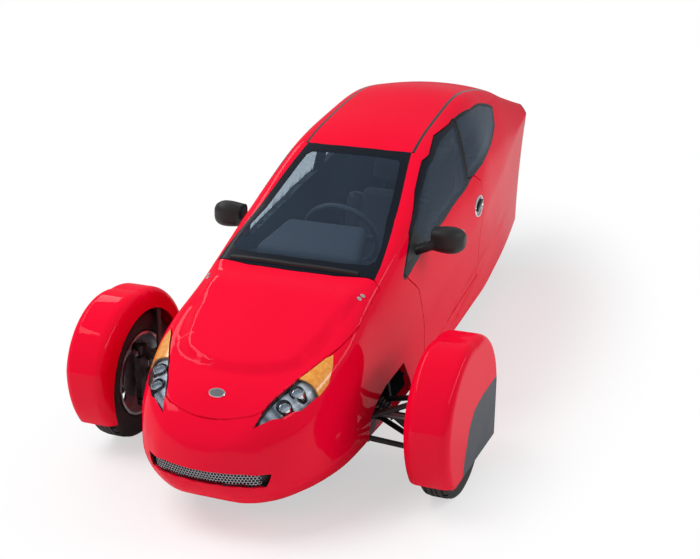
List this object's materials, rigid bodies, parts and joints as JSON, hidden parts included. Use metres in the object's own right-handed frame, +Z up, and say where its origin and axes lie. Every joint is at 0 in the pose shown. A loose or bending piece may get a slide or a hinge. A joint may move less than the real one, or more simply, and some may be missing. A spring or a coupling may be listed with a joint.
{
  "type": "three wheeled car",
  "caption": "Teardrop car body with outboard front wheels under fender pods and a rear wheel in the tail, tandem seats, and a door, hood and hatch that open",
  "frame": {"origin": "centre of the overall box in plan, on the ground under the tyres", "axes": "front of the car faces -Y, +X is the car's left (door side), +Z is up"},
  "size_m": [1.697, 4.0779, 1.377],
  "materials": {
    "red_paint": "glossy clear coat over bright red",
    "slate": "matt slate grey",
    "tinted_glass": "lightly tinted glass",
    "clear_lens": "clear lamp lens",
    "amber_lens": "amber lamp lens",
    "red_lens": "red lamp lens",
    "lamp_grey": "dark grey lamp bowl",
    "grille_metal": "dark chromed mesh",
    "gloss_black": "gloss black with a blue cast",
    "black_plastic": "satin black plastic",
    "chrome_trim": "bright chrome",
    "underbody": "black underbody coat",
    "black_steel": "black coated steel",
    "bare_steel": "bare steel",
    "cast_alloy": "cast alloy",
    "wheel_alloy": "painted alloy",
    "tyre_rubber": "black rubber",
    "cabin_plastic": "grained dark grey plastic",
    "seat_cloth": "dark grey woven cloth"
  },
  "bodies": {
    "body": {"nose_fascia": "red_paint", "side_frame_left": "red_paint", "side_frame_right": "red_paint", "roof_panel": "red_paint", "windshield": "tinted_glass", "quarter_glass_left": "tinted_glass", "side_glass_right": "tinted_glass", "headlamp_lenses": "clear_lens", "turn_lamps": "amber_lens", "tail_lamps": "red_lens", "headlamp_housings": "lamp_grey", "lower_grille": "grille_metal", "tail_panel": "gloss_black", "mirror_right": "black_plastic", "roof_mouldings": "black_plastic", "wiper": "black_plastic", "floor_pan": "underbody", "wheel_housing": "underbody", "bulkhead": "underbody", "subframe": "black_steel", "suspension_arms": "black_steel", "swing_arm": "black_steel", "steering_column": "black_steel", "dampers": "bare_steel", "drive_shafts": "bare_steel", "exhaust": "bare_steel", "engine": "cast_alloy", "dashboard": "cabin_plastic", "front_seat": "seat_cloth", "rear_seat": "seat_cloth"},
    "door": {"door_left": "red_paint", "door_glass": "tinted_glass", "mirror_left": "black_plastic", "door_handle": "chrome_trim"},
    "hood": {"hood": "red_paint"},
    "hatch": {"rear_hatch": "red_paint", "hatch_glass": "tinted_glass"},
    "steering_wheel": {"steering_wheel": "cabin_plastic"},
    "rack": {"steering_rack": "black_steel"},
    "knuckle_left": {"knuckle_left": "black_steel", "fender_pod_left": "red_paint", "pod_panel_left": "slate"},
    "knuckle_right": {"knuckle_right": "black_steel", "fender_pod_right": "red_paint", "pod_panel_right": "slate"},
    "wheel_front_left": {"rim_front_left": "wheel_alloy", "tyre_front_left": "tyre_rubber"},
    "wheel_front_right": {"rim_front_right": "wheel_alloy", "tyre_front_right": "tyre_rubber"},
    "wheel_rear": {"rim_rear": "wheel_alloy", "tyre_rear": "tyre_rubber"}
  },
  "joints": [
    {"name": "steer_left", "type": "hinge", "parent": "body", "child": "knuckle_left", "pos_m": [0.69, -1.2565, 0.295], "axis": [0, 0, 1], "range_deg": [-30, 30]},
    {"name": "steer_right", "type": "hinge", "parent": "body", "child": "knuckle_right", "pos_m": [-0.69, -1.2565, 0.295], "axis": [0, 0, 1], "range_deg": [-30.5, 30.5]},
    {"name": "rack_slide", "type": "slide", "parent": "body", "child": "rack", "axis": [1, 0, 0], "range_m": [-0.072, 0.072]},
    {"name": "steering_wheel_turn", "type": "hinge", "parent": "body", "child": "steering_wheel", "pos_m": [0, -0.5985, 0.836], "axis": [0, 0.9113, 0.4118], "range_deg": [-452, 452]},
    {"name": "front_left_wheel_spin", "type": "hinge", "parent": "knuckle_left", "child": "wheel_front_left", "pos_m": [0.752, -1.2565, 0.295], "axis": [1, 0, 0], "continuous": true},
    {"name": "front_right_wheel_spin", "type": "hinge", "parent": "knuckle_right", "child": "wheel_front_right", "pos_m": [-0.752, -1.2565, 0.295], "axis": [1, 0, 0], "continuous": true},
    {"name": "rear_wheel_spin", "type": "hinge", "parent": "body", "child": "wheel_rear", "pos_m": [0, 1.5375, 0.295], "axis": [1, 0, 0], "continuous": true},
    {"name": "door_swing", "type": "hinge", "parent": "body", "child": "door", "pos_m": [0.484, -0.8035, 0.6], "axis": [0, 0, -1], "range_deg": [0, 65]},
    {"name": "hood_lift", "type": "hinge", "parent": "body", "child": "hood", "pos_m": [0, -1.9865, 0.51], "axis": [1, 0, 0], "range_deg": [0, 60]},
    {"name": "hatch_lift", "type": "hinge", "parent": "body", "child": "hatch", "pos_m": [0, 0.9735, 1.314], "axis": [1, 0, 0], "range_deg": [0, 70]}
  ],
  "couplings": [
    {"joint": "steer_right", "follows": "steer_left", "ratio": 1},
    {"joint": "rack_slide", "follows": "steer_left", "m_per_rad": -0.127},
    {"joint": "steering_wheel_turn", "follows": "steer_left", "ratio": 15}
  ]
}
